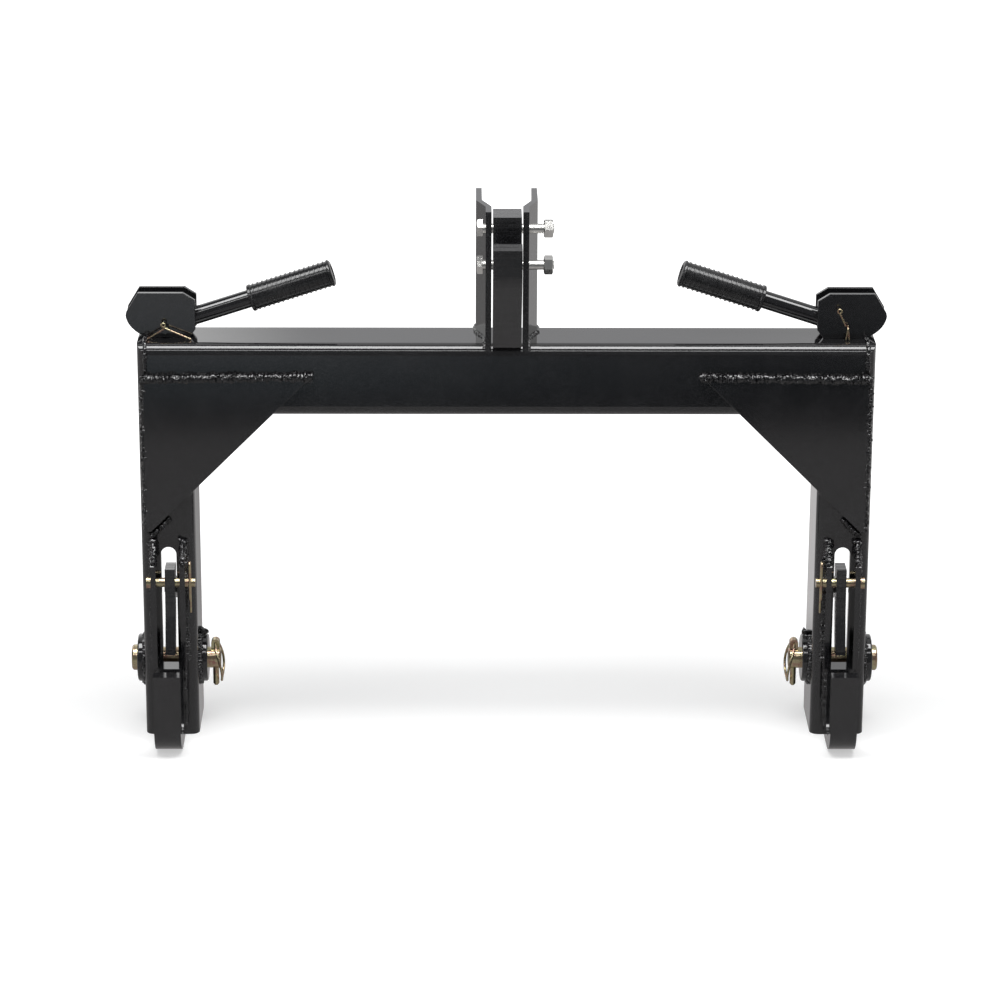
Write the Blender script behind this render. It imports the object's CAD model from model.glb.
"""Looks for a three point quick hitch: paint, plated hardware, weld beads, springs and a plain studio."""
import logging
import math
import random
from dataclasses import dataclass, replace
from enum import Enum
from typing import Callable, Sequence

import bmesh
import bpy
from mathutils import Matrix, Vector, noise


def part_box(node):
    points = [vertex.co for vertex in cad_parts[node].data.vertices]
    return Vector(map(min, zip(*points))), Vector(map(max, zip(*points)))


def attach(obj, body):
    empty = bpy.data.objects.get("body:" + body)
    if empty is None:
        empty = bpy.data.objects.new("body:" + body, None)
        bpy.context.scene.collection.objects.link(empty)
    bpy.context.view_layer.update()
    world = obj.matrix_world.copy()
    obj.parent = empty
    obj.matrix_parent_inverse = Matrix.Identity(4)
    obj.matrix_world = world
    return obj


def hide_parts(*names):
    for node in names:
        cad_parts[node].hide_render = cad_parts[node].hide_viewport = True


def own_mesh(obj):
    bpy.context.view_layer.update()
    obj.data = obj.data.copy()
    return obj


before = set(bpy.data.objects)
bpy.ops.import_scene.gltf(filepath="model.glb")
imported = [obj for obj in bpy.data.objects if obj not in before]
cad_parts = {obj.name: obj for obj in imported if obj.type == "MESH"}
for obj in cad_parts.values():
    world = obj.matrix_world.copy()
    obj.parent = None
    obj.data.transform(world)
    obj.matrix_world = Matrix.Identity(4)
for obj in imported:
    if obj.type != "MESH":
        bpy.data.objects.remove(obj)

logging.basicConfig(level=logging.INFO, format="%(message)s")
log = logging.getLogger("quick_hitch")

MM = 0.001
COAT_ROUGHNESS = 0.08
RELIEF_DISTANCE = 0.6 * MM
Socket = bpy.types.NodeSocket
Mesh = tuple[list[Vector], list[list[int]]]


class Side(Enum):
    """The two mirrored sides of the hitch, as seen from the implement."""

    LEFT = -1
    RIGHT = 1

    @property
    def label(self) -> str:
        """The ending that node and body names use for this side."""
        return self.name.lower()


class Grain(Enum):
    """Kinds of fine surface relief."""

    ORANGE_PEEL = "orange_peel"
    FLAME_CUT = "flame_cut"
    PLATED = "plated"
    MOULDED = "moulded"
    SAWN_EDGE = "sawn_edge"
    WELD = "weld"


@dataclass(frozen=True)
class Finish:
    """One surface finish, with its colour, gloss and fine relief."""

    name: str
    slot: str
    colour: tuple[float, float, float]
    tint: tuple[float, float, float]
    roughness: float
    metallic: float = 0.0
    roughness_spread: float = 0.06
    grain: Grain = Grain.ORANGE_PEEL
    grain_depth: float = 0.05
    grain_scale: float = 700.0
    patch_scale: float = 30.0
    tint_amount: float = 0.3
    coat: float = 0.0

    def build(self) -> bpy.types.Material:
        """Makes the node material.

        Returns:
            The new material.
        """
        graph = MaterialGraph(self.name)
        shader = graph.add("BsdfPrincipled")
        shader.inputs["Metallic"].default_value = self.metallic
        shader.inputs["Coat Weight"].default_value = self.coat
        shader.inputs["Coat Roughness"].default_value = COAT_ROUGHNESS
        graph.link(shader.outputs["BSDF"], graph.output.inputs["Surface"])
        place = graph.add("TexCoord").outputs["Object"]
        patches = graph.noise(place, self.patch_scale, 5.0)
        speckle = graph.noise(place, self.patch_scale * 9.0, 3.0)
        worn = graph.maths("MULTIPLY", patches, speckle)
        amount = graph.ramp(worn, 0.16, 0.42, 0.0, self.tint_amount)
        colour = graph.mix_colour(amount, self.colour, self.tint)
        graph.link(colour, shader.inputs["Base Color"])
        spread = self.roughness_spread
        low, high = self.roughness - spread, self.roughness + spread
        graph.link(graph.ramp(patches, 0.3, 0.7, low, high), shader.inputs["Roughness"])
        relief = self._relief(graph, place)
        graph.link(relief, shader.inputs["Normal"])
        graph.link(relief, shader.inputs["Coat Normal"])
        return graph.material

    def _relief(self, graph: "MaterialGraph", place: Socket) -> Socket:
        """Adds the fine relief.

        Args:
            graph: The material being built.
            place: The coordinates that the relief follows.

        Returns:
            The bumped normal.
        """
        height = graph.noise(place, self.grain_scale, 4.0)
        if self.grain is Grain.FLAME_CUT:
            stretched = graph.stretch(place, (14.0, 420.0, 420.0))
            fine = graph.maths("MULTIPLY", height, 0.25)
            height = graph.maths("ADD", graph.noise(stretched, 1.0, 5.0), fine)
        if self.grain is Grain.WELD:
            coarse = graph.noise(place, self.grain_scale * 0.45, 6.0)
            height = graph.maths("ADD", coarse, graph.maths("MULTIPLY", height, 0.5))
        if self.grain is Grain.SAWN_EDGE:
            facing = graph.add("SeparateXYZ")
            normal = graph.add("NewGeometry").outputs["True Normal"]
            graph.link(normal, facing.inputs["Vector"])
            edge = graph.ramp(graph.maths("ABSOLUTE", facing.outputs["Y"], 0.0), 0.6, 0.8, 0.0, 1.0)
            coarse = graph.maths("MULTIPLY", graph.noise(place, self.grain_scale * 0.6, 6.0), edge)
            height = graph.maths("ADD", graph.maths("MULTIPLY", height, 0.08), coarse)
        if self.grain is Grain.MOULDED:
            height = graph.maths("ADD", height, graph.noise(place, self.grain_scale * 0.2, 2.0))
        return graph.bump(height, self.grain_depth)


class MaterialGraph:
    """A material with short calls for the nodes that the finishes share."""

    def __init__(self, name: str) -> None:
        """Starts an empty material of that name."""
        self.material = bpy.data.materials.new(name)
        self.material.use_nodes = True
        self.tree = self.material.node_tree
        self.tree.nodes.clear()
        self.output = self.add("OutputMaterial")

    def add(self, kind: str) -> bpy.types.Node:
        """Adds a shader node of that kind."""
        return self.tree.nodes.new("ShaderNode" + kind)

    def link(self, start: Socket, end: Socket) -> None:
        """Joins two sockets."""
        self.tree.links.new(start, end)

    def noise(self, place: Socket, scale: float, detail: float) -> Socket:
        """Adds a noise texture.

        Args:
            place: The coordinates.
            scale: Cells per metre.
            detail: Number of finer layers.

        Returns:
            The grey value.
        """
        node = self.add("TexNoise")
        node.inputs["Scale"].default_value = scale
        node.inputs["Detail"].default_value = detail
        self.link(place, node.inputs["Vector"])
        return node.outputs["Fac"]

    def maths(self, operation: str, a: Socket, b: "Socket | float") -> Socket:
        """Adds a maths node.

        Args:
            operation: Its operation.
            a: First value.
            b: Second value, a socket or a number.

        Returns:
            The result.
        """
        node = self.add("Math")
        node.operation = operation
        self.link(a, node.inputs[0])
        if isinstance(b, (int, float)):
            node.inputs[1].default_value = b
        else:
            self.link(b, node.inputs[1])
        return node.outputs["Value"]

    def stretch(self, place: Socket, factors: Sequence[float]) -> Socket:
        """Scales the coordinates along each axis by its factor."""
        node = self.add("Mapping")
        node.inputs["Scale"].default_value = factors
        self.link(place, node.inputs["Vector"])
        return node.outputs["Vector"]

    def ramp(self, value: Socket, low: float, high: float, start: float, end: float) -> Socket:
        """Maps a value from one range to another, and holds it at both ends.

        Args:
            value: The value to map.
            low: Where the ramp starts.
            high: Where the ramp ends.
            start: Result at the start.
            end: Result at the end.

        Returns:
            The mapped value.
        """
        node = self.add("MapRange")
        node.interpolation_type = "SMOOTHSTEP"
        sockets = ("From Min", "From Max", "To Min", "To Max")
        for socket, number in zip(sockets, (low, high, start, end)):
            node.inputs[socket].default_value = number
        self.link(value, node.inputs["Value"])
        return node.outputs["Result"]

    def mix_colour(
        self, amount: Socket, first: Sequence[float], second: Sequence[float]
    ) -> Socket:
        """Blends two colours.

        Args:
            amount: Share of the second colour.
            first: Colour where the share is 0.
            second: Colour where the share is 1.

        Returns:
            The blended colour.
        """
        node = self.add("Mix")
        node.data_type = "RGBA"
        colours = [s for s in node.inputs if s.type == "RGBA"]
        colours[0].default_value = (*first, 1.0)
        colours[1].default_value = (*second, 1.0)
        self.link(amount, node.inputs["Factor"])
        return next(s for s in node.outputs if s.type == "RGBA")

    def bump(self, height: Socket, depth: float) -> Socket:
        """Turns a height into a bumped normal.

        Args:
            height: The height.
            depth: Strength of the relief.

        Returns:
            The normal.
        """
        node = self.add("Bump")
        node.inputs["Strength"].default_value = depth
        node.inputs["Distance"].default_value = RELIEF_DISTANCE
        self.link(height, node.inputs["Height"])
        return node.outputs["Normal"]


BLACK_PAINT = Finish("gloss_black_paint", "black_paint", (0.009, 0.009, 0.010), (0.03, 0.03, 0.032), 0.09,
                     coat=1.0, roughness_spread=0.025, tint_amount=0.18)
HOOK_PAINT = replace(BLACK_PAINT, name="gloss_paint_on_plate", colour=(0.012, 0.012, 0.013),
                     tint=(0.035, 0.035, 0.037), roughness=0.15, roughness_spread=0.04, tint_amount=0.2)
SAWN_PAINT = replace(BLACK_PAINT, name="painted_sawn_edge", colour=(0.008, 0.008, 0.009), roughness=0.11,
                     roughness_spread=0.035, grain=Grain.SAWN_EDGE, grain_depth=0.8, tint_amount=0.2)
CUT_EDGE_PAINT = replace(BLACK_PAINT, name="painted_flame_cut", roughness=0.14, roughness_spread=0.04,
                         grain=Grain.FLAME_CUT, grain_depth=0.9, tint_amount=0.2)
WELD_PAINT = replace(BLACK_PAINT, name="painted_weld", colour=(0.004, 0.004, 0.005),
                     tint=(0.012, 0.012, 0.013), roughness=0.08, roughness_spread=0.03, grain=Grain.WELD,
                     grain_depth=0.2, grain_scale=420.0, tint_amount=0.2)
TUBE_PAINT = replace(BLACK_PAINT, name="thick_gloss_paint", colour=(0.006, 0.006, 0.007),
                     tint=(0.02, 0.02, 0.022), roughness_spread=0.03, tint_amount=0.15)
BRIGHT_ZINC = Finish("bright_zinc_plate", "bright_zinc", (0.93, 0.92, 0.89), (0.6, 0.6, 0.57), 0.2,
                     metallic=1.0, grain=Grain.PLATED, grain_depth=0.12, patch_scale=120.0, tint_amount=0.5)
YELLOW_ZINC = replace(BRIGHT_ZINC, name="yellow_zinc_plate", slot="yellow_zinc", colour=(0.62, 0.58, 0.36),
                      tint=(0.50, 0.25, 0.22), roughness_spread=0.07, grain_depth=0.2, tint_amount=1.0)
SPRING_WIRE = replace(BRIGHT_ZINC, name="spring_wire_steel", slot="spring_wire", colour=(0.60, 0.61, 0.63),
                      tint=(0.30, 0.29, 0.28), roughness=0.32, patch_scale=150.0, tint_amount=0.6)
ROD_STEEL = replace(BRIGHT_ZINC, name="plain_rod_steel", slot="plain_rod", colour=(0.42, 0.42, 0.43),
                    tint=(0.16, 0.15, 0.14), roughness=0.38, grain_depth=0.2, patch_scale=80.0,
                    tint_amount=0.7)
GRIP_RUBBER = Finish("ribbed_grip_rubber", "grip_rubber", (0.009, 0.009, 0.010), (0.03, 0.03, 0.031), 0.24,
                     coat=0.5, grain=Grain.MOULDED, grain_depth=0.08, grain_scale=1300.0, tint_amount=0.4)


class Workshop:
    """Builds each finish once, dresses the solids and turns outlines into pieces."""

    def __init__(self) -> None:
        """Starts with no finish built."""
        self._built: dict[str, bpy.types.Material] = {}

    def material(self, finish: Finish) -> bpy.types.Material:
        """The material of a finish, made the first time it is asked for."""
        if finish.name not in self._built:
            self._built[finish.name] = finish.build()
        return self._built[finish.name]

    def dress(self, node: str, finish: Finish) -> None:
        """Gives a solid its finish.

        Args:
            node: Name of the solid.
            finish: The finish it takes.
        """
        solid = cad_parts[node]
        for place in solid.material_slots:
            place.material = self.material(finish)
        log.info("dressed %s in %s", node, finish.name)

    def piece(
        self, name: str, points: Sequence[Vector], faces: Sequence[Sequence[int]], finish: Finish, body: str
    ) -> bpy.types.Object:
        """Makes a smooth mesh piece that rides on a body.

        Args:
            name: Name of the piece.
            points: Its vertices in metres.
            faces: Its faces.
            finish: The finish it takes.
            body: The body it moves with.

        Returns:
            The new piece.
        """
        mesh = bpy.data.meshes.new(name)
        mesh.from_pydata([tuple(p) for p in points], [], [tuple(f) for f in faces])
        mesh.validate()
        mesh.shade_smooth()
        obj = bpy.data.objects.new(name, mesh)
        bpy.context.scene.collection.objects.link(obj)
        mesh.materials.append(self.material(finish))
        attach(obj, body)
        log.info("made %s on %s", name, body)
        return obj


def belt(here: int, there: int, sides: int) -> list[list[int]]:
    """The faces between two rings of points.

    Args:
        here: Number of the first ring's first point.
        there: Number of the second ring's first point.
        sides: Number of points in a ring.

    Returns:
        The faces.
    """
    turned_on = [(k, (k + 1) % sides) for k in range(sides)]
    return [[here + k, here + after, there + after, there + k] for k, after in turned_on]


def swept_tube(
    path: Sequence[Vector], radius: Callable[[float], float], sides: int, closed: bool = False
) -> Mesh:
    """Sweeps a round section along a path.

    Args:
        path: Points along the middle of the tube.
        radius: Radius at each distance along the path.
        sides: Number of points round the section.
        closed: Whether the path meets its own start.

    Returns:
        The vertices and the faces.
    """
    points: list[Vector] = []
    faces: list[list[int]] = []
    count = len(path)
    side = (path[1] - path[0]).normalized().orthogonal().normalized()
    travelled = 0.0
    for i, middle in enumerate(path):
        ahead = path[(i + 1) % count] if closed else path[min(i + 1, count - 1)]
        behind = path[i - 1] if closed or i else path[0]
        along = (ahead - behind).normalized()
        side = (side - along * side.dot(along)).normalized()
        across = along.cross(side)
        if i:
            travelled += (middle - path[i - 1]).length
        size = radius(travelled)
        for k in range(sides):
            angle = 2 * math.pi * k / sides
            points.append(middle + size * (math.cos(angle) * side + math.sin(angle) * across))
    for i in range(count if closed else count - 1):
        faces += belt(i * sides, (i + 1) % count * sides, sides)
    if not closed:
        faces.append(list(range(sides))[::-1])
        faces.append(list(range((count - 1) * sides, count * sides)))
    return points, faces


def spaced(corners: Sequence[Vector], step: float) -> list[Vector]:
    """Points at an even step along straight stretches.

    Args:
        corners: Ends of the stretches.
        step: Distance between points.

    Returns:
        The points, both ends among them.
    """
    result = [corners[0]]
    for start, end in zip(corners, corners[1:]):
        parts = max(1, round((end - start).length / step))
        result += [start.lerp(end, (i + 1) / parts) for i in range(parts)]
    return result


def turned(start: Vector, along: Vector, profile: Sequence[tuple[float, float]], sides: int) -> Mesh:
    """Turns a profile round an axis.

    Args:
        start: Where the axis starts.
        along: Its direction.
        profile: Pairs of distance along it and radius.
        sides: Number of points round it.

    Returns:
        The vertices and the faces.
    """
    side = along.orthogonal().normalized()
    across = along.cross(side)
    points, faces = [], []
    for distance, radius in profile:
        for k in range(sides):
            a = math.tau * k / sides
            points.append(start + along * distance + radius * (math.cos(a) * side + math.sin(a) * across))
    for i in range(len(profile) - 1):
        faces += belt(i * sides, (i + 1) * sides, sides)
    return points, faces


def stacked(rings: Sequence[Sequence[tuple[float, float, float]]], centre: Vector) -> Mesh:
    """Joins rings round an axis along X, and closes both ends.

    Args:
        rings: The rings. Each point is its X, its radius and its angle.
        centre: A point on the axis.

    Returns:
        The vertices and the faces.
    """
    n, faces = len(rings[0]), []
    points = [Vector((x, centre.y + r * math.cos(a), centre.z + r * math.sin(a)))
              for ring in rings for x, r, a in ring]
    last = (len(rings) - 1) * n
    for i in range(0, last, n):
        for k in range(n):
            here, after = i + k, i + (k + 1) % n
            faces.append([here, here + n, after + n, after])
    return points, [*faces, list(range(n)), list(range(last, last + n))[::-1]]


def extruded(outline: Sequence[tuple[float, float]], near: float, far: float) -> Mesh:
    """Gives a flat outline its depth.

    Args:
        outline: Its corners, each with its X and Z.
        near: Y of its first face.
        far: Y of its second face.

    Returns:
        The vertices and the faces.
    """
    points = [Vector((x, y, z)) for y in (near, far) for x, z in outline]
    n = len(outline)
    faces = [list(range(n)), list(range(2 * n - 1, n - 1, -1))]
    faces += [[k, k + n, (k + 1) % n + n, (k + 1) % n] for k in range(n)]
    return points, faces


def soften(piece: bpy.types.Object, width: float) -> None:
    """Rounds the sharp edges of a piece.

    Args:
        piece: The piece.
        width: Width of the rounding.
    """
    shape = bmesh.new()
    shape.from_mesh(piece.data)
    bmesh.ops.recalc_face_normals(shape, faces=shape.faces)
    sharp = [e for e in shape.edges if e.calc_face_angle(0.0) > math.radians(20)]
    rounded = bmesh.ops.bevel(shape, geom=sharp, offset=width, segments=3, profile=0.5, affect="EDGES")
    for face in shape.faces:
        face.smooth = False
    for face in rounded["faces"]:
        face.smooth = True
    shape.to_mesh(piece.data)
    shape.free()


@dataclass
class WeldBead:
    """A painted weld bead with overlapping ripples, part sunk into its corner."""

    workshop: Workshop
    leg: float = 3.6 * MM
    ripple: float = 4.4 * MM
    lump: float = 0.26
    rough: float = 0.5
    rough_size: float = 2.6 * MM
    step: float = 0.7 * MM
    sides: int = 14

    def lay(
        self, name: str, corners: Sequence[Sequence[float]], body: str, closed: bool = False,
        leg: float = 0.0
    ) -> None:
        """Lays one bead.

        Args:
            name: Name of the piece.
            corners: Corners of its path.
            body: The body it rides on.
            closed: Whether the path meets its own start.
            leg: Size of the bead, where it isn't the usual one.
        """
        chance = random.Random(name)
        size = leg or self.leg
        phase = chance.random() * math.tau
        swell = [chance.uniform(0.86, 1.14) for _ in range(64)]

        def radius(distance: float) -> float:
            """Radius of the bead at a distance along it."""
            beat = distance / self.ripple
            ridge = abs(math.sin(math.pi * beat + phase)) ** 0.6
            start, share = int(beat) % 63, beat % 1.0
            body_swell = swell[start] * (1 - share) + swell[start + 1] * share
            return size * body_swell * (1 - self.lump + self.lump * ridge)

        stations = spaced([Vector(c) for c in corners], self.step)
        path = [p + Vector([chance.gauss(0, 0.05 * size) for _ in range(3)]) for p in stations]
        if closed:
            path = path[:-1]
        points, faces = swept_tube(path, radius, self.sides, closed)
        centres = [path[i // self.sides] for i in range(len(points))]
        seed = Vector((chance.uniform(0, 9), chance.uniform(0, 9), chance.uniform(0, 9)))
        lumpy = []
        for point, centre in zip(points, centres):
            coarse = noise.noise(point / self.rough_size + seed)
            swing = coarse + 0.4 * noise.noise(point * 3 / self.rough_size)
            lumpy.append(centre + (point - centre) * (1 + self.rough * swing))
        self.workshop.piece(name, lumpy, faces, WELD_PAINT, body)


def ends(node: str) -> tuple[Vector, Vector]:
    """The lowest and the highest corner of a solid's box."""
    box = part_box(node)
    return Vector(box[0]), Vector(box[1])


def middle_of(node: str) -> Vector:
    """The middle of a solid's box."""
    low, high = ends(node)
    return (low + high) / 2


@dataclass
class WeldedFrame:
    """Crossbeam, uprights and gussets with the beads that join them."""

    workshop: Workshop
    bead: WeldBead
    gusset_blunt: float = 5 * MM
    gusset_leg: float = 167 * MM
    seam_inset: float = 8.3 * MM
    corner_radius: float = 11 * MM
    wall: float = 8 * MM

    def build(self) -> None:
        """Dresses the solids and lays the beads."""
        self.workshop.dress("crossbeam", BLACK_PAINT)
        for side in Side:
            self.workshop.dress(f"upright_{side.label}", BLACK_PAINT)
            self._gusset_beads(side)
            self._beam_end_beads(side)

    def _gusset_beads(self, side: Side) -> None:
        """Cuts one gusset plate and lays the beads round it.

        Args:
            side: The side that it stands on.
        """
        name, s = f"gusset_{side.label}", side.value
        low, high = ends(name)
        outer = high.x if s > 0 else low.x
        leg, blunt, top = self.gusset_leg, self.gusset_blunt, high.z
        outline = ((0, 0), (leg, 0), (leg, blunt), (blunt, leg), (0, leg))
        placed = [(outer - s * u, top - w) for u, w in outline]
        points, faces = extruded(placed, low.y, high.y)
        plate = self.workshop.piece(f"cut_{name}", points, faces, BLACK_PAINT, "frame")
        soften(plate, 0.6 * MM)
        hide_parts(name)
        face = low.y
        run = [(outer + s * 0.5 * MM, face + 1.6 * MM, top - 3.0 * MM),
               (outer - s * (leg + 6 * MM), face + 3.5 * MM, top - 1.5 * MM)]
        self.bead.lay(f"weld_gusset_top_{side.label}", run, "frame", leg=4.7 * MM)
        edge = [(outer, high.y - 2 * MM, top - drop) for drop in (1 * MM, leg)]
        self.bead.lay(f"weld_gusset_edge_{side.label}", edge, "frame", leg=3.9 * MM)
        total = leg + blunt + 6 * MM
        for tag, start, end, size, sunk in (("tip", 5, 24, 3.4, 0), ("slant", 27, 49, 1.5, 5.0)):
            path = [(outer - s * u * MM, high.y - 0.6 * MM, top - total + (u + sunk) * MM)
                    for u in (start, end)]
            self.bead.lay(f"weld_gusset_{tag}_{side.label}", path, "frame", leg=size * MM)

    def _beam_end_beads(self, side: Side) -> None:
        """Lays the beads that close one end of the crossbeam.

        Args:
            side: The end's side.
        """
        s = side.value
        low, high = ends("crossbeam")
        x = high.x if s > 0 else low.x
        r = self.corner_radius
        bend = [
            (x, low.y + r * (1 - math.sin(a)), high.z - r * (1 - math.cos(a)))
            for a in (math.radians(d) for d in (0, 22, 45, 68, 90))
        ]
        drop = (x, low.y, ends(f"gusset_{side.label}")[1].z + 4 * MM)
        path = [(x, high.y - r, high.z), *bend, drop]
        self.bead.lay(f"weld_beam_end_{side.label}", path, "frame", leg=2.4 * MM)
        inner = ends(f"upright_{side.label}")[0 if s > 0 else 1].x + s * self.wall / 2
        under = [(inner - s * self.wall / 2, low.y + 9 * MM, low.z),
                 (inner - s * self.wall / 2, high.y - 2 * MM, low.z)]
        self.bead.lay(f"weld_under_beam_{side.label}", under, "frame", leg=3.0 * MM)
        back = [(x, high.y, low.z + 6 * MM), (x, high.y, high.z - r)]
        self.bead.lay(f"weld_beam_back_{side.label}", back, "frame", leg=2.4 * MM)


@dataclass
class Mast:
    """Joggled mast plates with their base beads, and the bolted top hook."""

    workshop: Workshop
    bead: WeldBead
    front_depth: float = 24 * MM
    slant_depth: float = 26 * MM
    front_half: float = 22 * MM

    def build(self) -> None:
        """Dresses the plates and the hook and lays the beads."""
        self.workshop.dress("top_hook", CUT_EDGE_PAINT)
        for side in Side:
            name, s = f"mast_plate_{side.label}", side.value
            self.workshop.dress(name, SAWN_PAINT)
            low, high = ends(name)
            top = ends("crossbeam")[1]
            wide = high.x if s > 0 else low.x
            edge = [
                (s * self.front_half, low.y + 7 * MM, top.z - 1.5 * MM),
                (s * self.front_half, low.y + self.front_depth, top.z),
                (wide, low.y + self.front_depth + self.slant_depth, top.z),
                (wide, top.y - 4 * MM, top.z),
            ]
            self.bead.lay(f"weld_mast_{side.label}", edge, "frame", leg=2.6 * MM)
            toe = [(s * self.front_half, low.y + 1.5 * MM, top.z - 6 * MM),
                   (s * self.front_half, low.y + 10 * MM, top.z)]
            self.bead.lay(f"weld_mast_toe_{side.label}", toe, "frame", leg=3.0 * MM)


@dataclass
class TopHookBolts:
    """Hex bolts and nuts with chamfered corners and rolled thread."""

    workshop: Workshop
    count: int = 2
    pitch: float = 38 * MM
    flats: float = 17 * MM
    shank: float = 5 * MM
    thread_pitch: float = 1.5 * MM
    thread_depth: float = 0.3 * MM
    head: float = 6 * MM
    turns: tuple[float, ...] = (8.0, 26.0)
    parts_round: int = 48

    def build(self) -> None:
        """Makes every bolt and nut in place of the plain solids."""
        low, high = ends("top_hook_bolts")
        nut_low, nut_high = ends("top_hook_nuts")
        middle_y = (low.y + high.y) / 2
        middle_z = (low.z + high.z) / 2
        for i in range(self.count):
            z = middle_z + (0.5 - i) * self.pitch
            centre = Vector((0, middle_y, z))
            turn, seat = self.turns[i], low.x + self.head
            made = self._hexagon(f"bolt_head_{i + 1}", centre, low.x, seat, turn, True)
            shaft = self._shaft(f"bolt_shaft_{i + 1}", centre, seat - 1 * MM, high.x)
            nut = self._hexagon(f"bolt_nut_{i + 1}", centre, nut_low.x, nut_high.x, turn + 17, False)
            for piece in (made, shaft):
                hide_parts("top_hook_bolts")
            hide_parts("top_hook_nuts")

    def _hexagon(
        self, name: str, centre: Vector, start: float, end: float, turn: float, one_face: bool
    ) -> bpy.types.Object:
        """Makes a hexagon along X with chamfered corners.

        Args:
            name: Name of the piece.
            centre: A point on its axis.
            start: Place of its first face.
            end: Place of its second face.
            turn: Turn about its axis in degrees.
            one_face: Whether only the first face is chamfered.

        Returns:
            The new piece.
        """
        n, flat = self.parts_round, self.flats / 2
        inner = flat * 0.94
        stations = []
        for k in range(n):
            angle = math.tau * k / n
            lean = (angle + math.pi / 6) % (math.pi / 3) - math.pi / 6
            reach = flat / math.cos(lean)
            fall = (reach - inner) * math.tan(math.radians(30))
            stations.append((angle + math.radians(turn), reach, fall))
        rings = [
            [(start, inner * 0.98, a) for a, _, _ in stations],
            [(start + fall, reach, a) for a, reach, fall in stations],
            [(end - (0 if one_face else fall), reach, a) for a, reach, fall in stations],
            [(end, inner * (1.04 if one_face else 1.0), a) for a, _, _ in stations],
        ]
        points, faces = stacked(rings, centre)
        piece = self.workshop.piece(name, points, faces, BRIGHT_ZINC, "frame")
        piece.data.set_sharp_from_angle(angle=math.radians(28))
        return piece

    def _shaft(self, name: str, centre: Vector, start: float, end: float) -> bpy.types.Object:
        """Makes a shank whose second half carries a helical thread.

        Args:
            name: Name of the piece.
            centre: A point on its axis.
            start: Place of its hidden end.
            end: Place of its threaded end.

        Returns:
            The new piece.
        """
        n = 24
        step = self.thread_pitch / 6
        rows = int((end - start) / step)
        thread_from = start + (end - start) * 0.86
        rings = []
        for i in range(rows + 1):
            x = start + (end - start) * i / rows
            ring = []
            for k in range(n):
                wave = abs(((x / self.thread_pitch - k / n) % 1.0) * 2 - 1)
                cut = self.thread_depth * wave if x > thread_from else 0.0
                taper = max(0.0, x - end + 1.2 * MM) * 0.6
                ring.append((x, self.shank - cut - taper, math.tau * k / n))
            rings.append(ring)
        points, faces = stacked(rings, centre)
        return self.workshop.piece(name, points, faces, BRIGHT_ZINC, "frame")


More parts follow.
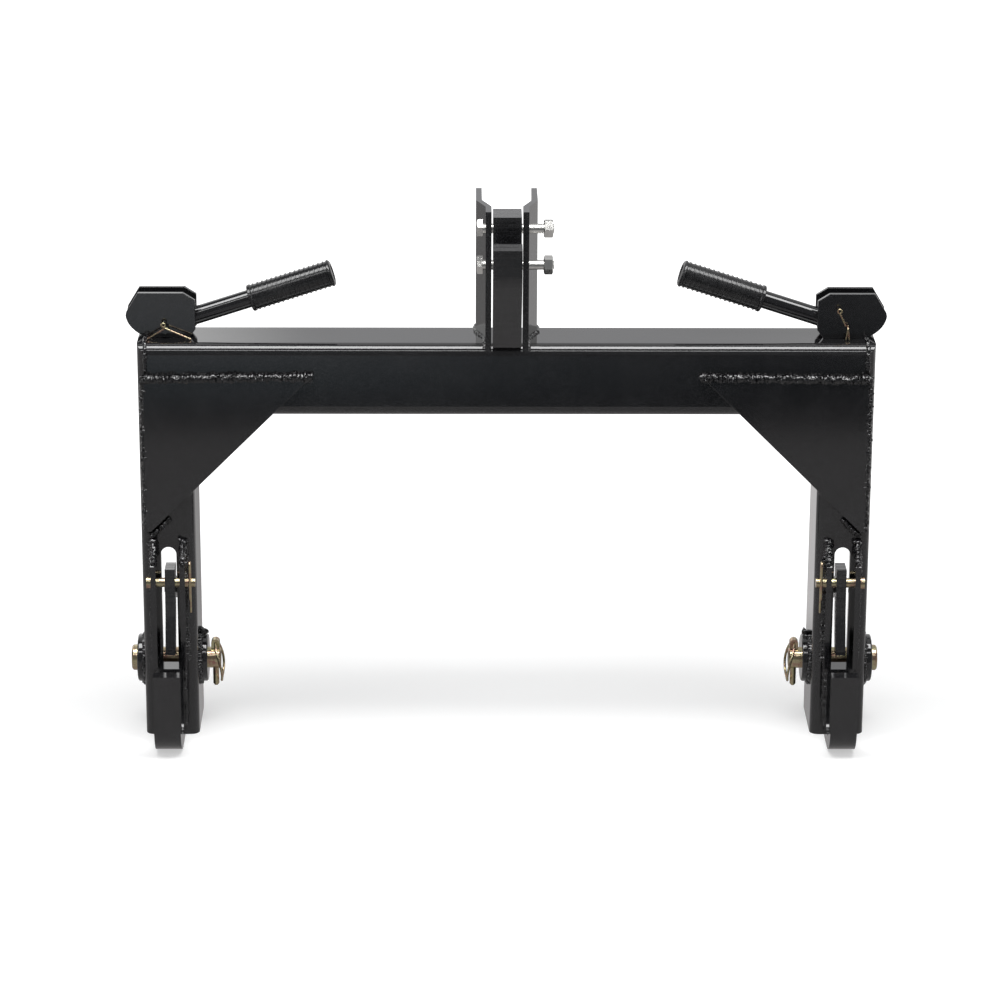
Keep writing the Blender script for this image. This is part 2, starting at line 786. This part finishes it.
@dataclass
class LowerJaw:
    """One lower hook with its ears, bosses, pivot pin, clip and link pin."""

    side: Side
    workshop: Workshop
    bead: WeldBead
    ring_wire: float = 1.35 * MM
    ring_ear: float = 6.3 * MM
    ring_foot: float = 6.0 * MM
    ring_bow: float = 3.6 * MM
    ear_slope: float = 21 * MM

    def build(self) -> None:
        """Dresses the solids and lays the beads."""
        end = self.side.label
        self.workshop.dress(f"lower_hook_{end}", HOOK_PAINT)
        for part in ("ear_outer", "ear_inner", "link_boss_outer", "link_boss_inner"):
            self.workshop.dress(f"{part}_{end}", BLACK_PAINT)
        for part in ("latch_pivot_pin", "link_pin", "linch_pin", "latch_pivot_clip"):
            self.workshop.dress(f"{part}_{end}", YELLOW_ZINC)
        self._linch_ring()
        self._ear_beads()
        self._hook_beads()
        self._boss_beads()

    def _ear_beads(self) -> None:
        """Lays a bead down the free side of each ear, with a blob at its top."""
        end, s = self.side.label, self.side.value
        for part, away in (("outer", 1), ("inner", -1)):
            name = f"ear_{part}_{end}"
            low, high = ends(name)
            x = high.x if s * away > 0 else low.x
            down = [(x, high.y, high.z - 2 * MM), (x, high.y, low.z + 2 * MM)]
            self.bead.lay(f"weld_{name}", down, "frame", leg=3.2 * MM)
            middle, drop = (low.x + high.x) / 2, self.ear_slope
            slope = [(middle, high.y - 1.5 * MM, high.z - 0.5 * MM),
                     (middle, low.y + 1.5 * MM, high.z - drop * 0.94 - 1.5 * MM)]
            self.bead.lay(f"weld_{name}_slope", slope, "frame", leg=3.6 * MM)
            blob = [(low.x - 0.5 * MM, high.y - 1.5 * MM, high.z),
                    (high.x + 0.5 * MM, high.y - 2.5 * MM, high.z - 2 * MM)]
            self.bead.lay(f"weld_{name}_top", blob, "frame", leg=4.6 * MM)

    def _hook_beads(self) -> None:
        """Lays a bead down each side of the hook's rear leg."""
        name = f"lower_hook_{self.side.label}"
        low, high = ends(name)
        top = ends(f"ear_outer_{self.side.label}")[0].z
        for tag, x in (("a", low.x), ("b", high.x)):
            down = [(x, high.y, top - 1 * MM), (x, high.y, low.z + 9 * MM)]
            self.bead.lay(f"weld_{name}_{tag}", down, "frame", leg=3.4 * MM)

    def _boss_beads(self) -> None:
        """Lays a ring of weld round each boss where it meets the upright."""
        end, s = self.side.label, self.side.value
        for part, away in (("outer", 1), ("inner", -1)):
            name = f"link_boss_{part}_{end}"
            low, high = ends(name)
            centre, radius = (low + high) / 2, (high.z - low.z) / 2
            x = low.x if s * away > 0 else high.x
            turns = 40
            ring = [
                (x, centre.y + radius * math.cos(a), centre.z + radius * math.sin(a))
                for a in (math.tau * k / turns for k in range(turns + 1))
            ]
            self.bead.lay(f"weld_{name}", ring, "frame", closed=True, leg=3.4 * MM)
        boss = f"link_boss_inner_{end}"
        low, high = ends(boss)
        foot = Vector(((low.x + high.x) / 2 + s * 3 * MM, (low.y + high.y) / 2, high.z - 3 * MM))
        tip = foot + Vector((-s * 2 * MM, 1 * MM, 9 * MM))
        self.bead.lay(f"weld_lump_{end}", [foot, tip], "frame", leg=5.4 * MM)

    def _linch_ring(self) -> None:
        """Bends a bowed wire ring that hangs from the linch pin head and hooks past its foot."""
        end, s = self.side.label, self.side.value
        node, pin = f"linch_ring_{end}", f"linch_pin_{end}"
        low, high = ends(node)
        pin_middle = middle_of(pin)
        reach = (high.y - low.y) / 2 - self.ring_wire
        hinge_z = high.z - self.ring_wire - 0.3 * MM
        open_angle = math.asin(self.ring_ear / reach)
        middle_z = hinge_z - reach * math.cos(open_angle)
        parts = 72
        path = []
        for i in range(parts + 1):
            share = i / parts
            a = open_angle + (math.tau - 2 * open_angle) * share
            near_foot = math.sin(math.pi * share)
            bow = self.ring_foot * near_foot ** 2 + self.ring_bow * math.sin(math.tau * share) ** 2
            path.append(Vector((pin_middle.x - s * bow, pin_middle.y + reach * math.sin(a),
                                middle_z + reach * math.cos(a))))
        for last, turn in ((0, 1), (-1, -1)):
            inward = Vector((path[last].x, pin_middle.y, path[last].z))
            path.insert(0 if turn > 0 else len(path), path[last].lerp(inward, 0.45))
        points, faces = swept_tube(path, lambda _: self.ring_wire, 12)
        piece = self.workshop.piece(f"bowed_{node}", points, faces, YELLOW_ZINC, node)
        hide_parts(node)


@dataclass
class LatchTrain:
    """Lever, link rod, spring and pawl on one side."""

    side: Side
    workshop: Workshop
    bead: WeldBead
    spring_coils: float = 9.0
    spring_wire: float = 2.6 * MM
    points_a_turn: int = 28
    rod_lift: float = 39.7 * MM
    lever_slope: float = 18.0
    tube_start: float = 17 * MM
    tube_radius: float = 9.3 * MM
    cheek_foot: float = 30.8 * MM
    grip_start: float = 91 * MM
    grip_length: float = 89 * MM
    grip_rings: int = 16

    def build(self) -> None:
        """Dresses the solids, coils the spring and lays the beads."""
        end, dress = self.side.label, self.workshop.dress
        dress(f"latch_pawl_{end}", CUT_EDGE_PAINT)
        for part in ("lever_cheek_front", "lever_cheek_rear"):
            self._cheek(f"{part}_{end}")
        dress(f"lever_tube_{end}", TUBE_PAINT)
        self._grip()
        dress(f"lever_pin_{end}", BLACK_PAINT)
        self._cotters()
        for part in ("link_rod", "rod_collar"):
            dress(f"{part}_{end}", ROD_STEEL)
        self._spring()
        self._tube_beads()

    def _spring(self) -> None:
        """Coils a round wire spring in place of the plain one."""
        name = f"latch_spring_{self.side.label}"
        low, high = ends(name)
        centre = (low + high) / 2
        radius = (high.x - low.x) / 2 - self.spring_wire / 2
        turns = self.spring_coils + 1.5
        bottom, top = low.z + self.spring_wire / 2, high.z - self.spring_wire / 2
        count = int(turns * self.points_a_turn)
        path = []
        for i in range(count + 1):
            share = i / count
            turned = share * turns
            rise = min(max((turned - 0.75) / (turns - 1.5), 0.0), 1.0)
            closed_end = min(turned, 0.75, turns - turned) * 0.12 * self.spring_wire
            a = math.tau * turned
            z = bottom + (top - bottom) * rise + (closed_end if rise < 0.5 else -closed_end)
            path.append(Vector((centre.x + radius * math.cos(a), centre.y + radius * math.sin(a), z)))
        points, faces = swept_tube(path, lambda _: self.spring_wire / 2, 12)
        piece = self.workshop.piece(f"coiled_spring_{self.side.label}", points, faces, SPRING_WIRE, "frame")
        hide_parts(name)
        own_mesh(piece)

    def _pivot(self) -> Vector:
        """The middle of the lever pin."""
        return middle_of(f"lever_pin_{self.side.label}")

    def _cheek_outline(self) -> list[tuple[float, float]]:
        """Outline of a cheek about its pin: first toward the handle, then up, in millimetres.

        Returns:
            The corners in order.
        """
        heel, low_end, pull = (-40.4, 13.5), (-19.5, -9.6), (-38.5, -1.0)
        curve = []
        for i in range(13):
            t = i / 12
            curve.append(tuple(
                (1 - t) ** 2 * heel[k] + 2 * t * (1 - t) * pull[k] + t * t * low_end[k] for k in (0, 1)))
        return [(18.7, 37.4), (-27.4, 37.4), (-39.6, 17.2), *curve, (24.5, -9.6), (30.8, -1.0), (30.8, 29.7)]

    def _cheek(self, node: str) -> None:
        """Cuts one cheek plate with its clipped corners and softened edges.

        Args:
            node: The solid that it stands for.
        """
        s, pivot = self.side.value, self._pivot()
        low, high = ends(node)
        placed = [(pivot.x - s * u * MM, pivot.z + w * MM) for u, w in self._cheek_outline()]
        points, faces = extruded(placed, low.y, high.y)
        piece = self.workshop.piece(f"cut_{node}", points, faces, BLACK_PAINT, f"lever_{self.side.label}")
        soften(piece, 0.5 * MM)
        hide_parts(node)

    def _grip(self) -> None:
        """Turns the rubber grip with its thin raised rings and end flanges."""
        end, s = self.side.label, self.side.value
        slope = math.radians(self.lever_slope)
        along = Vector((-s * math.cos(slope), 0, math.sin(slope)))
        body, ring, flange, bore = 13.0 * MM, 13.85 * MM, 14 * MM, 9.5 * MM
        length, collar, count = self.grip_length, 4.2 * MM, self.grip_rings
        pitch = (length - 2 * collar) / count
        profile = [(0.0, bore), (0.0, flange - 0.8 * MM), (0.8 * MM, flange), (collar - 1 * MM, flange),
                   (collar, body)]
        for i in range(count):
            middle = collar + pitch * (i + 0.5)
            profile += [(middle - 0.9 * MM, body), (middle - 0.55 * MM, ring), (middle + 0.55 * MM, ring),
                        (middle + 0.9 * MM, body)]
        profile += [(length - collar, body), (length - collar + 1 * MM, flange), (length - 2 * MM, flange),
                    (length - 0.5 * MM, flange - 1.2 * MM), (length, flange - 2.4 * MM),
                    (length, flange - 5 * MM), (length - 0.7 * MM, flange - 5.6 * MM),
                    (length - 0.7 * MM, 0.0)]
        points, faces = turned(self._pivot() + along * self.grip_start, along, profile, 72)
        piece = self.workshop.piece(f"ringed_grip_{end}", points, faces, GRIP_RUBBER, f"lever_{end}")
        piece.data.set_sharp_from_angle(angle=math.radians(40))
        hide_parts(f"lever_grip_{end}")

    def _cotters(self) -> None:
        """Bends the split cotters at both ends of the lever pin."""
        end, s, pivot = self.side.label, self.side.value, self._pivot()
        low, high = ends(f"lever_pin_{end}")
        points, faces = [], []
        for y, front in ((low.y + 3 * MM, -1), (high.y - 3 * MM, 1)):
            hole = Vector((pivot.x, y, pivot.z))
            for strand in self._cotter_wires(front):
                path = [hole + Vector((-s * u * MM, front * v * MM, w * MM)) for u, v, w in strand]
                made, sides = swept_tube(spaced(path, 0.8 * MM), lambda _: 0.95 * MM, 8)
                faces += [[k + len(points) for k in face] for face in sides]
                points += made
        piece = self.workshop.piece(f"bent_cotters_{end}", points, faces, YELLOW_ZINC, f"rod_{end}")
        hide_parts(f"lever_cotter_{end}")

    def _cotter_wires(self, front: int) -> list[list[tuple[float, float, float]]]:
        """The strands of one cotter: toward the handle, outward and up from its hole, in millimetres.

        Args:
            front: -1 at the implement end of the pin, 1 at the tractor end.

        Returns:
            Three strands: the eye and two legs.
        """
        if self.side is Side.LEFT and front < 0:
            lean, rise, legs = -1.5, 3.4, ((-18.0, 4.4, -9.0), (27.0, 6.0, -9.0))
        elif front < 0:
            lean, rise, legs = 9.0, 19.0, ((-1.6, 4.4, -9.0), (1.8, 4.6, -9.0))
        else:
            lean, rise, legs = 0.0, 6.0, ((-8.0, 4.4, -8.6), (8.0, 4.4, -8.6))
        radius, turn = 2.1, [math.radians(30 * k) for k in range(13)]
        eye = [(lean + radius * math.sin(a), 4.6, rise + radius - radius * math.cos(a)) for a in turn]
        neck = [(0.0, 0.0, -4.9), (0.0, 0.0, 5.2), (lean * 0.3, 4.2, min(rise * 0.6, 6.0)),
                (lean, 4.6, rise)]
        bend = [(0.0, 0.0, 4.4), (0.0, 0.0, 5.3), (0.0, 4.2, 2.2)]
        return [neck + eye[1:]] + [[*bend, leg] for leg in legs]

    def _tube_beads(self) -> None:
        """Lays beads where the handle tube meets the two cheeks."""
        end, s = self.side.label, self.side.value
        pivot = self._pivot()
        slope = math.radians(self.lever_slope)
        along = Vector((-s * math.cos(slope), 0, math.sin(slope)))
        across = Vector((s * math.sin(slope), 0, math.cos(slope)))
        reach = self.cheek_foot / math.cos(slope)
        for tag, inner_face in (("front", 1), ("rear", 0)):
            y = ends(f"lever_cheek_{tag}_{end}")[inner_face].y
            for level, lift in (("over", 0.62), ("under", -0.62)):
                off = across * self.tube_radius * lift
                start = pivot + along * (self.tube_start + 1 * MM) + off
                finish = pivot + along * (reach - 2 * MM) + off
                path = [(start.x, y, start.z), (finish.x, y, finish.z)]
                self.bead.lay(f"weld_tube_{tag}_{level}_{end}", path, f"lever_{end}", leg=2.6 * MM)


class Studio:
    """Pale floor and backdrop, soft lamps, and the camera at the picture's angle."""

    camera_place = Vector((-0.0519, -3.8446, 1.5546))
    yaw = -0.0119
    pitch = 0.3258
    roll = 0.0047
    lens = 141.12
    floor_share = 0.33
    shadow_reach = 0.2
    white_level = 1.5
    gloss_level = 0.95

    def build(self) -> None:
        """Builds the studio."""
        self._camera()
        self._floor()
        self._backdrop()
        self._world()
        self._lamps()
        bpy.context.scene.view_settings.view_transform = "Standard"

    def _camera(self) -> None:
        """Places the camera."""
        cy, sy = math.cos(self.yaw), math.sin(self.yaw)
        cp, sp = math.cos(self.pitch), math.sin(self.pitch)
        ahead = Vector((-sy * cp, cy * cp, -sp))
        right = Vector((cy, sy, 0))
        up = right.cross(ahead)
        cr, sr = math.cos(self.roll), math.sin(self.roll)
        right, up = right * cr + up * sr, up * cr - right * sr
        data = bpy.data.cameras.new("camera")
        data.lens, data.sensor_width = self.lens, 36.0
        data.clip_start, data.clip_end = 0.1, 60.0
        camera = bpy.data.objects.new("camera", data)
        turn = Matrix((right, up, -ahead)).transposed().to_4x4()
        camera.matrix_world = Matrix.Translation(self.camera_place) @ turn
        bpy.context.scene.collection.objects.link(camera)
        bpy.context.scene.camera = camera

    def _pale(
        self, name: str, share: float, axis: str, seen: Sequence[tuple[float, float, float, float]],
        ahead: tuple[float, float] = (1.0, 1.0), behind: tuple[float, float] = (1.0, 1.0)
    ) -> bpy.types.Material:
        """A pale matt material that the camera sees as white, with its own tone in gloss.

        Args:
            name: Name of the material.
            share: How much of its tone to the camera is plain white.
            axis: Axis along which gloss sees it change.
            seen: Places along the axis in metres, each with the red, green and blue that gloss sees.
            ahead: How much stronger gloss sees it in front of the object, at the left and the right.
            behind: The same behind the object.

        Returns:
            The new material.
        """
        graph = MaterialGraph(name)
        matt = graph.add("BsdfDiffuse")
        matt.inputs["Color"].default_value = (0.93, 0.93, 0.93, 1)
        glow = graph.add("Emission")
        glow.inputs["Strength"].default_value = self.white_level
        rays = graph.add("LightPath")
        blend = graph.add("MixShader")
        place = graph.add("SeparateXYZ")
        graph.link(graph.add("TexCoord").outputs["Object"], place.inputs["Vector"])
        white = graph.ramp(place.outputs["Y"], self.shadow_reach, self.shadow_reach + 0.7, share, 1.0)
        part = graph.maths("MULTIPLY", rays.outputs["Is Camera Ray"], white)
        graph.link(part, blend.inputs["Fac"])
        graph.link(matt.outputs["BSDF"], blend.inputs[1])
        graph.link(glow.outputs["Emission"], blend.inputs[2])
        start, end = seen[0][0], seen[-1][0]
        spot = graph.maths("SUBTRACT", place.outputs[axis], start)
        ramp = graph.add("ValToRGB")
        graph.link(graph.maths("DIVIDE", spot, end - start), ramp.inputs["Fac"])
        while len(ramp.color_ramp.elements) < len(seen):
            ramp.color_ramp.elements.new(0.5)
        for stop, (where, *tone) in zip(ramp.color_ramp.elements, seen):
            stop.position = (where - start) / (end - start)
            stop.color = (*tone, 1)
        mirror = graph.add("Emission")
        level = graph.add("Value").outputs[0]
        level.default_value = self.gloss_level
        for sides, wide, start, end in ((ahead, 0.45, -1.12, -1.22), (behind, 0.1, 0.2, 0.4)):
            across = graph.ramp(place.outputs["X"], -wide, wide, *sides)
            there = graph.ramp(place.outputs["Y"], start, end, 0.0, 1.0)
            change = graph.maths("MULTIPLY", graph.maths("SUBTRACT", across, 1.0), there)
            level = graph.maths("MULTIPLY", graph.maths("ADD", change, 1.0), level)
        graph.link(level, mirror.inputs["Strength"])
        graph.link(ramp.outputs["Color"], mirror.inputs["Color"])
        last = graph.add("MixShader")
        graph.link(rays.outputs["Is Glossy Ray"], last.inputs["Fac"])
        graph.link(blend.outputs["Shader"], last.inputs[1])
        graph.link(mirror.outputs["Emission"], last.inputs[2])
        graph.link(last.outputs["Shader"], graph.output.inputs["Surface"])
        return graph.material

    def _plane(self, name: str, corners: Sequence[Sequence[float]], material: bpy.types.Material) -> None:
        """Makes a flat stage piece.

        Args:
            name: Name of the piece.
            corners: Its four corners in metres.
            material: Its material.
        """
        mesh = bpy.data.meshes.new(name)
        mesh.from_pydata([tuple(c) for c in corners], [], [(0, 1, 2, 3)])
        mesh.materials.append(material)
        piece = bpy.data.objects.new(name, mesh)
        bpy.context.scene.collection.objects.link(piece)

    def _floor(self) -> None:
        """Lays the floor, which gloss sees fade to dark in front of the object."""
        near, far, wide = -9.0, 7.0, 9.0
        tones = ((near, 0.02, 0.02, 0.02), (-1.9, 0.20, 0.20, 0.20), (-1.6, 0.30, 0.31, 0.32),
                 (-1.35, 0.13, 0.155, 0.17), (-1.23, 0.11, 0.135, 0.15), (-1.21, 0.01, 0.01, 0.01),
                 (-1.13, 0.01, 0.01, 0.01), (-1.10, 0.34, 0.33, 0.33), (far, 0.38, 0.38, 0.38))
        corners = ((-wide, near, 0), (wide, near, 0), (wide, far, 0), (-wide, far, 0))
        white = self._pale("floor_white", self.floor_share, "Y", tones, (1.6, 0.4), (0.85, 1.7))
        self._plane("floor", corners, white)

    def _backdrop(self) -> None:
        """Stands the backdrop behind the object."""
        wide, back, high = 9.0, 7.0, 8.0
        tones = ((-wide, 1.0, 1.0, 1.0), (-0.86, 1.0, 1.0, 1.0), (-0.48, 0.52, 0.52, 0.53),
                 (0.7, 0.50, 0.50, 0.51), (1.7, 0.62, 0.62, 0.62), (wide, 0.62, 0.62, 0.62))
        corners = ((-wide, back, 0), (wide, back, 0), (wide, back, high), (-wide, back, high))
        self._plane("backdrop", corners, self._pale("backdrop_white", 1.0, "X", tones))

    def _world(self) -> None:
        """Sets an even pale world, white to the camera."""
        world = bpy.data.worlds.new("studio")
        bpy.context.scene.world = world
        world.use_nodes = True
        tree = world.node_tree
        tree.nodes.clear()
        add, link = tree.nodes.new, tree.links.new
        output = add("ShaderNodeOutputWorld")
        soft = add("ShaderNodeBackground")
        soft.inputs["Color"].default_value = (0.96, 0.98, 1.0, 1)
        soft.inputs["Strength"].default_value = 0.14
        white = add("ShaderNodeBackground")
        white.inputs["Strength"].default_value = 1.0
        rays = add("ShaderNodeLightPath")
        mix = add("ShaderNodeMixShader")
        link(rays.outputs["Is Camera Ray"], mix.inputs["Fac"])
        link(soft.outputs["Background"], mix.inputs[1])
        link(white.outputs["Background"], mix.inputs[2])
        link(mix.outputs["Shader"], output.inputs["Surface"])

    def _lamps(self) -> None:
        """Hangs the soft lamps."""
        aim = (0.0, 0.0, 0.42)
        self._lamp("overhead_strip", (0.0, -0.5, 2.5), aim, (3.0, 1.0), 66)
        self._lamp("front_strip", (-0.3, -2.0, 2.15), aim, (2.4, 0.3), 8)
        self._lamp("top_panel", (0.2, 0.9, 2.4), (0.0, 0.0, 0.2), (2.4, 1.2), 4)
        self._lamp("left_panel", (-2.5, -0.7, 1.5), (0.0, 0.0, 0.3), (0.7, 1.4), 7)
        self._lamp("right_panel", (2.6, -0.2, 1.5), (0.0, 0.0, 0.3), (0.7, 1.4), 7)

    def _lamp(
        self, name: str, place: Sequence[float], target: Sequence[float], size: tuple[float, float],
        power: float
    ) -> None:
        """Hangs one soft lamp.

        Args:
            name: Name of the lamp.
            place: Where it hangs.
            target: What it points at.
            size: Its width and height in metres.
            power: Its power in watts.
        """
        data = bpy.data.lights.new(name, "AREA")
        data.shape, data.size, data.size_y, data.energy = "RECTANGLE", *size, power
        lamp = bpy.data.objects.new(name, data)
        lamp.location = place
        lamp.rotation_mode = "QUATERNION"
        lamp.rotation_quaternion = (Vector(target) - Vector(place)).to_track_quat("-Z", "Y")
        bpy.context.scene.collection.objects.link(lamp)


def main() -> None:
    """Builds every sub-assembly and the studio."""
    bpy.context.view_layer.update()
    workshop = Workshop()
    bead = WeldBead(workshop)
    parts = [WeldedFrame(workshop, bead), Mast(workshop, bead), TopHookBolts(workshop)]
    for side in Side:
        parts += [LowerJaw(side, workshop, bead), LatchTrain(side, workshop, bead)]
    parts.append(Studio())
    for part in parts:
        part.build()
        log.info("built %s", type(part).__name__)


if __name__ == "__main__":
    main()
